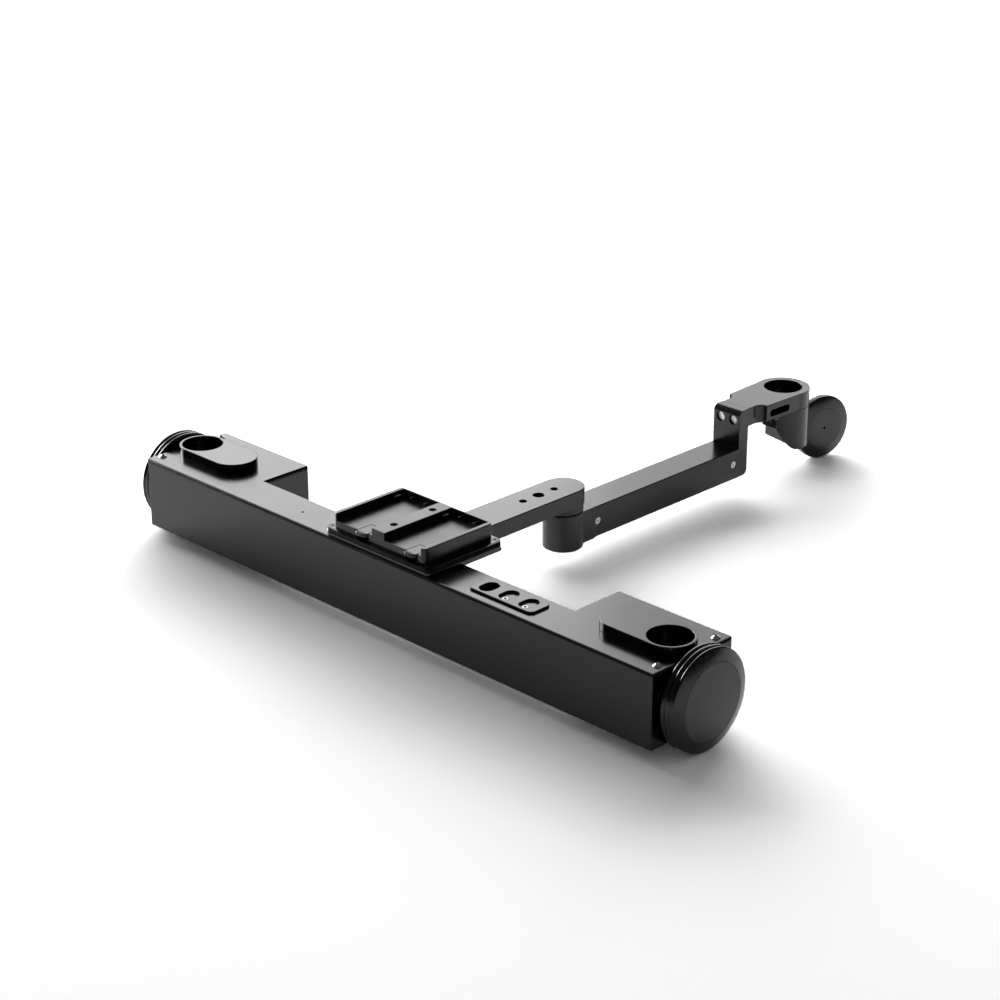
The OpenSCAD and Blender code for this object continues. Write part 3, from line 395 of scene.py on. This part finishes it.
# Each corner is (radius, distance out from the chassis, rounding), in mm.
TYRE = rounded([
    (SEAT_R, 0.0, 0.3), (TYRE_R, 0.0, 2.0),
    (TYRE_R, 3.1, 1.1), (GROOVE_R, 4.1, 0.5), (TYRE_R, 5.1, 1.1),
    (TYRE_R, 7.5, 1.1), (GROOVE_R, 8.7, 0.6), (TYRE_R, 9.8, 0.85),
    (TYRE_R, 11.62, 0.9), (FACE_R, 15.0, 0.3), (FACE_R, 11.9, 0.1), (SEAT_R, 11.8, 0.1),
])
CAP_R, CAP_DOME, CAP_DEEP = 29.65, 0.9, 2.5
dome_r = np.linspace(0, CAP_R - 0.6, 24)
dome = np.column_stack([dome_r, CAP_DOME * (1 - (dome_r / CAP_R) ** 2)]) * MM
rim = [(CAP_R - 0.3, 0.0), (CAP_R - 0.08, -0.12), (CAP_R, -0.4), (CAP_R, -CAP_DEEP), (0, -CAP_DEEP)]
CAP = np.vstack([dome, np.array(rim) * MM])
for mark, way in (("left", -1), ("right", 1)):
    low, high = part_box("tyre_" + mark)
    middle = (low + high) / 2
    inner_x, outer_x = (low.x, high.x) if way > 0 else (high.x, low.x)
    inner_centre, outer_centre = (inner_x, middle.y, middle.z), (outer_x, middle.y, middle.z)
    tyre = turned("tyre_ribbed_" + mark, TYRE, inner_centre, (way, 0, 0), rubber, mark + "_wheel")
    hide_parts("tyre_" + mark)
    cap = turned("cap_domed_" + mark, CAP, outer_centre, (way, 0, 0), wheel_plastic, mark + "_wheel")
    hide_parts("wheel_cap_" + mark)
print("tyre outline points:", len(TYRE), "cap outline points:", len(CAP))

# %% [markdown]
# ## The rear wheel
# The rear wheel is one moulding: a flat disc, a fine line round it, and a rim that slopes away to the
# tread. Behind the disc is the seat of its bearing. Its axle turns with the caster, so the place and
# the direction of the wheel come from the joint in the record.

# %% Rear wheel
AXLE_HOLE_R, LINE_R, RIM_R, BEARING_SEAT_R = 1.4, 18.5, 29.2, 8.05
SHOULDER_R, WHEEL_WIDE, FACE_OUT = 5.0, 10.0, 5.0
# Each corner is (radius, distance out from the face of the disc, rounding), in mm.
REAR_WHEEL = rounded([
    (AXLE_HOLE_R, -1.0, 0.0), (AXLE_HOLE_R, 0.0, 0.2),
    (LINE_R - 0.3, 0.0, 0.25), (LINE_R, -0.2, 0.1), (LINE_R + 0.3, 0.0, 0.25),
    (RIM_R, -2.1, 1.5), (RIM_R, -WHEEL_WIDE, 2.6),
    (BEARING_SEAT_R, -WHEEL_WIDE, 0.4), (BEARING_SEAT_R, -3.8, 0.0),
    (SHOULDER_R, -3.8, 0.0), (SHOULDER_R, -1.0, 0.0),
])
axle = next(j for j in frame["record"]["behaviour"]["joints"] if j["name"] == "rear_axle")
axle_way = Vector(axle["axis"]).normalized()
face = Vector(axle["pos_m"]) + FACE_OUT * MM * axle_way
wheel = turned("rear_wheel_rimmed", REAR_WHEEL, face, axle_way, rubber, "rear_wheel")
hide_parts("rear_wheel")
print("rear wheel outline points:", len(REAR_WHEEL))

# %% [markdown]
# ## Battery latches
# A battery is let go by pressing a small tongue at the front of its bay. The tongue is a flat plate
# with a rounded finger tab that slopes down in front of the tray. It is one outline at rising heights,
# drawn in a little at the top for a soft edge.

# %% Latch tongues with rounded finger tabs
# Under the floor, the latch's foot sticks out FOOT mm past the tongue at the back and the sides.
FOOT = 0.9
THICK, SOFT_EDGE = 2.9 * MM, 0.35 * MM
TAB_LONG, TAB_FALL = 2.4 * MM, 1.0 * MM


def slab(name, outline, low_z, high_z, edge, fall, material, body):
    """Rings of one outline at rising heights, drawn in by edge at the top; fall(y) lowers the top."""
    middle = outline.mean(axis=0)
    span = np.ptp(outline, axis=0) / 2
    shrink = edge / span.min()
    rings = [(0.0, low_z), (1.0, low_z), (1.0, high_z - edge), (1 - 0.3 * shrink, high_z - 0.3 * edge)]
    rings += [((1 - shrink) * scale, high_z) for scale in np.linspace(1, 0, 9)]
    flat = [middle + (outline - middle) * scale for scale, _ in rings]
    points = np.stack([np.column_stack([xy, np.full(len(xy), z)]) for xy, (_, z) in zip(flat, rings)])
    points[2:, :, 2] -= fall(points[2:, :, 1])
    return grid_piece(name, points, material, body)


for mark in ("left", "right"):
    low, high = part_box("latch_" + mark)
    x0, x1, y0, y1 = (v / MM for v in (low.x, high.x, low.y, high.y))
    # Each corner is (x, y, rounding), in mm, from the back left to the back right.
    tongue = rounded([
        (x0 + FOOT, y1 - FOOT, 0.6), (x0 + FOOT, y0 + 2.6, 0.4), (x0 + FOOT + 0.1, y0, 2.3),
        (x1 - FOOT - 2.0, y0, 2.6), (x1 - FOOT, y0 + 2.8, 0.5), (x1 - FOOT, y1 - FOOT, 0.6),
    ], 8)
    tab_end = low.y + TAB_LONG
    piece = slab("latch_tongue_" + mark, tongue, high.z - THICK, high.z, SOFT_EDGE,
                 lambda y, at=tab_end: TAB_FALL * np.clip((at - y) / TAB_LONG, 0, 1) ** 1.3,
                 moulded_tray, mark + "_latch")
    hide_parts("latch_" + mark)
print("a tongue is", round(x1 - x0 - 2 * FOOT, 1), "mm wide")

# %% [markdown]
# ## Sockets
# The two round sockets beside the power socket sit in shallow oval wells of the port plate. Each has a
# plate at the bottom of its well and a bright ring round its dark hole. The solids have the wells and
# the sockets below them, and these small pieces are added to them.

# %% Socket plates and rings
# All sizes are in mm. A well is two half circles, each WELL_SHIFT from its middle.
WELL_DEEP, WELL_R, WELL_SHIFT = 1.8, 5.95, 2.35
PLATE_THICK, JACK_R, JACK_FORWARD, JACK_HOLE_R = 1.2, 3.5, 4, 2.3
RING_IN, RING_OUT, RING_TOP, RING_DEEP = 1.3, 2.25, 0.45, 1.0
low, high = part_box("port_plate")
jack_low, jack_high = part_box("jack_sockets")
well_y = (low.y + high.y) / 2
well_z = high.z - WELL_DEEP * MM
plate_low = well_z - PLATE_THICK * MM
circle = np.column_stack([np.cos(TURN), np.sin(TURN)])
oval = (circle * WELL_R + np.column_stack([0 * TURN, WELL_SHIFT * np.sign(np.sin(TURN))])) * MM
RING = rounded([(RING_IN, -RING_DEEP, 0), (RING_OUT, -RING_DEEP, 0),
                (RING_OUT, RING_TOP, 0.25), (RING_IN, RING_TOP, 0.3)])
for n, well_x in enumerate((jack_low.x + JACK_R * MM, jack_high.x - JACK_R * MM)):
    jack_at = np.array([well_x, well_y - JACK_FORWARD * MM])
    hole = circle * JACK_HOLE_R * MM + jack_at
    wall = oval + (well_x, well_y)
    bands = [(hole, plate_low), (hole, well_z), (wall, well_z), (wall, plate_low), (hole, plate_low)]
    points = np.stack([np.column_stack([xy, np.full(len(xy), z)]) for xy, z in bands])
    plate = grid_piece(f"socket_plate_{n}", points, anodised, "chassis")
    ring = turned(f"socket_ring_{n}", RING, (*jack_at, well_z), (0, 0, 1), polished_steel, "chassis")
print("socket wells are", round((high.z - well_z) / MM, 2), "mm deep")

# %% [markdown]
# ## The camera
# The camera stands where the photographer did: in front and to the right, well above the lid, with a
# longer lens. Yaw, pitch and roll turn it, and its three axes are worked out from those angles.

# %% Place the camera from yaw, pitch and roll
CAMERA_PLACE = Vector((1.23846, -1.382072, 0.80854))
YAW, PITCH, ROLL = (math.radians(a) for a in (45.14, 22.76, -0.17))
LENS_MM = 86.53
SENSOR_MM = 36
forward = Vector((-math.sin(YAW) * math.cos(PITCH), math.cos(YAW) * math.cos(PITCH), -math.sin(PITCH)))
level = Vector((math.cos(YAW), math.sin(YAW), 0))
upright = level.cross(forward)
right = math.cos(ROLL) * level + math.sin(ROLL) * upright
up = -math.sin(ROLL) * level + math.cos(ROLL) * upright
camera = bpy.data.objects.new("camera", bpy.data.cameras.new("camera"))
camera.data.lens = LENS_MM
camera.data.sensor_width = SENSOR_MM
camera.matrix_world = Matrix.Translation(CAMERA_PLACE) @ Matrix((right, up, -forward)).transposed().to_4x4()
bpy.context.scene.collection.objects.link(camera)
bpy.context.scene.camera = camera
print("camera looks along", [round(v, 3) for v in forward])

# %% [markdown]
# ## The floor
# A floor of white paper takes a soft shadow. Real paper would send so much light back up that the
# shadow turned pale, so the floor is greyer to the light that bounces off it, and whiter to the camera
# and in a gloss. The light path tells the shader which of them is looking.

# %% White paper floor
FLOOR_HALF = 6.0
FLOOR_TO_BOUNCE, FLOOR_TO_CAMERA = 0.60, 4.0
GLOSS_SHARE = 0.78
floor_mesh = bpy.data.meshes.new("floor")
floor_mesh.from_pydata([(x * FLOOR_HALF, y * FLOOR_HALF, 0) for x, y in ((-1, -1), (1, -1), (1, 1), (-1, 1))],
                       [], [(0, 1, 2, 3)])
floor = bpy.data.objects.new("floor", floor_mesh)
bpy.context.scene.collection.objects.link(floor)

paper = bpy.data.materials.new("white paper floor")
paper.use_nodes = True
tree = paper.node_tree
tree.nodes.clear()
ray = add_node(tree, "ShaderNodeLightPath").outputs
seen = add_node(tree, "ShaderNodeMath", {"operation": "MULTIPLY_ADD"},
                {0: ray["Is Glossy Ray"], 1: GLOSS_SHARE, 2: ray["Is Camera Ray"]})
tone = add_node(tree, "ShaderNodeMapRange", None,
                {"Value": seen.outputs["Value"], "To Min": FLOOR_TO_BOUNCE, "To Max": FLOOR_TO_CAMERA})
diffuse = add_node(tree, "ShaderNodeBsdfDiffuse", None, {"Color": tone.outputs["Result"]})
add_node(tree, "ShaderNodeOutputMaterial", None, {"Surface": diffuse.outputs["BSDF"]})
floor_mesh.materials.append(paper)
print("floor is", 2 * FLOOR_HALF, "m square")

# %% [markdown]
# ## The room and the lamps
# One large soft box stands low behind the dolly, brightest in its middle, so that the lids reflect it
# at a glancing angle and the shadow falls to the front. A card at the left shows only in reflections,
# as bright lines on the tyres and rims. The rest of the room is nearly dark, which is what draws the
# black lines along the edges, and only the camera sees it white.

# %% World and lamps
ROOM_FILL, BACKDROP = 0.07, 1.0
world = bpy.data.worlds.new("studio")
bpy.context.scene.world = world
world.use_nodes = True
sky_tree = world.node_tree
sky_tree.nodes.clear()
sky_ray = add_node(sky_tree, "ShaderNodeLightPath")
sky_strength = add_node(sky_tree, "ShaderNodeMapRange", None,
                        {"Value": sky_ray.outputs["Is Camera Ray"], "To Min": ROOM_FILL, "To Max": BACKDROP})
sky = add_node(sky_tree, "ShaderNodeBackground", None,
               {"Color": (1, 1, 1, 1), "Strength": sky_strength.outputs["Result"]})
add_node(sky_tree, "ShaderNodeOutputWorld", None, {"Surface": sky.outputs["Background"]})


def soft_box(name, place, target, width, height, watts):
    """A rectangular lamp at place, facing target, hidden from the camera but seen in reflections."""
    lamp = bpy.data.lights.new(name, "AREA")
    lamp.shape = "RECTANGLE"
    lamp.size = width
    lamp.size_y = height
    lamp.energy = watts
    box = bpy.data.objects.new(name, lamp)
    direction = Vector(target) - Vector(place)
    box.matrix_world = Matrix.Translation(place) @ direction.to_track_quat("-Z", "Y").to_matrix().to_4x4()
    box.visible_camera = False
    bpy.context.scene.collection.objects.link(box)
    return box


# Each lamp has its place, what it faces, its width and height in metres, and its watts.
soft_box("soft box behind", (-2.1, 1.5, 1.35), (0, 0.1, 0.05), 4.6, 2.3, 64)
soft_box("bright middle of the box behind", (-2.1, 1.35, 1.12), (-0.1, -0.2, 0.07), 1.2, 1.0, 6.5)
card = soft_box("reflector card at the left", (-3.1, -0.5, 1.1), (0, -0.2, 0.05), 1.4, 1.4, 140)
card.visible_diffuse = False
bpy.context.scene.view_settings.view_transform = "Standard"
print("lamps:", len(bpy.data.lights))
